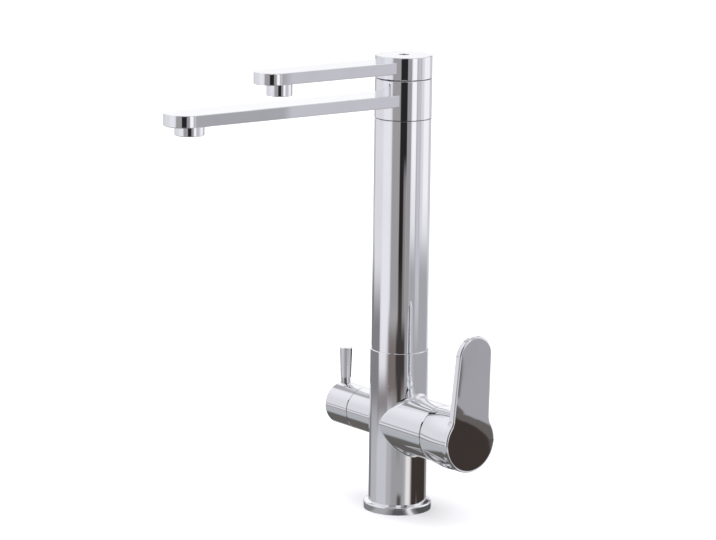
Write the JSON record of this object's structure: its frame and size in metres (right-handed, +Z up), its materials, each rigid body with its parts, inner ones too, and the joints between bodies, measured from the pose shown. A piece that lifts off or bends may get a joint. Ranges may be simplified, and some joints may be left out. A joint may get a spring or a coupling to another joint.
{
  "type": "three way filtered water tap",
  "caption": "Deck tap with a single lever mixer on one side, a filtered water valve on the other and two flat swivel spouts one above the other on a straight round column.",
  "frame": {"origin": "Centre of the foot on the deck's top face, on the column's axis.", "axes": "+Z up along the column, -Y along both spouts as they rest, +X along the mixer barrel to its lever and -X along the filter valve."},
  "size_m": [0.1733, 0.2511, 0.3662],
  "materials": {
    "polished_chrome": "polished chrome plate on brass",
    "plain_brass": "machined brass, unplated",
    "stainless_steel": "plain stainless steel",
    "black_rubber": "black sealing rubber",
    "dark_plastic": "dark moulded plastic",
    "white_plastic": "white moulded plastic",
    "ceramic_disc": "lapped alumina"
  },
  "bodies": {
    "base": {"base_flange": "polished_chrome", "base_seal": "black_rubber", "main_body": "polished_chrome", "mixer_barrel": "polished_chrome", "filter_barrel": "polished_chrome", "column_tube": "polished_chrome", "mixed_riser": "stainless_steel", "filtered_riser": "stainless_steel", "swivel_core": "plain_brass", "long_spout_seals": "black_rubber", "short_spout_seals": "black_rubber", "long_glide_washer": "dark_plastic", "short_glide_washer": "dark_plastic", "retaining_washer": "stainless_steel", "top_screw": "stainless_steel", "cartridge_seals": "black_rubber", "cartridge_base": "dark_plastic", "cartridge_fixed_disc": "ceramic_disc", "cartridge_housing": "dark_plastic", "cartridge_nut": "plain_brass", "dome_cover": "polished_chrome", "filter_port_seals": "black_rubber", "filter_fixed_disc": "ceramic_disc", "filter_valve_body": "plain_brass", "filter_glide_ring": "dark_plastic"},
    "long_spout": {"long_spout": "polished_chrome", "long_aerator_housing": "polished_chrome", "long_aerator_insert": "white_plastic", "long_aerator_seal": "black_rubber"},
    "short_spout": {"short_spout": "polished_chrome", "short_aerator_housing": "polished_chrome", "short_aerator_insert": "white_plastic", "short_aerator_seal": "black_rubber"},
    "mixer_carriage": {"cartridge_rotor": "dark_plastic", "rotor_pin": "stainless_steel"},
    "mixer_disc": {"cartridge_moving_disc": "ceramic_disc", "disc_carrier": "dark_plastic"},
    "mixer_lever": {"lever": "polished_chrome", "lever_spindle": "stainless_steel", "lever_grub_screw": "stainless_steel", "lever_plug": "polished_chrome"},
    "filter_knob": {"filter_moving_disc": "ceramic_disc", "filter_spindle": "plain_brass", "filter_spindle_seal": "black_rubber", "filter_cap": "polished_chrome", "filter_pin_lever": "polished_chrome", "filter_grub_screw": "stainless_steel"}
  },
  "joints": [
    {"name": "long_spout_swivel", "type": "hinge", "parent": "base", "child": "long_spout", "pos_m": [0, 0, 0.3324], "axis": [0, 0, 1], "continuous": true},
    {"name": "short_spout_swivel", "type": "hinge", "parent": "base", "child": "short_spout", "pos_m": [0, 0, 0.3574], "axis": [0, 0, 1], "continuous": true},
    {"name": "mixer_temperature", "type": "hinge", "parent": "base", "child": "mixer_carriage", "pos_m": [0.033, 0, 0.072], "axis": [1, 0, 0], "range_deg": [-45, 45]},
    {"name": "mixer_flow", "type": "hinge", "parent": "mixer_carriage", "child": "mixer_lever", "pos_m": [0.033, 0, 0.072], "axis": [0, 1, 0], "range_deg": [0, 22]},
    {"name": "mixer_disc_slide", "type": "slide", "parent": "mixer_carriage", "child": "mixer_disc", "axis": [0, 0, 1], "range_m": [0, 0.0027]},
    {"name": "filter_turn", "type": "hinge", "parent": "base", "child": "filter_knob", "pos_m": [-0.06, 0, 0.072], "axis": [1, 0, 0], "range_deg": [0, 90]}
  ],
  "couplings": [
    {"joint": "mixer_disc_slide", "follows": "mixer_flow", "m_per_rad": 0.00702}
  ]
}
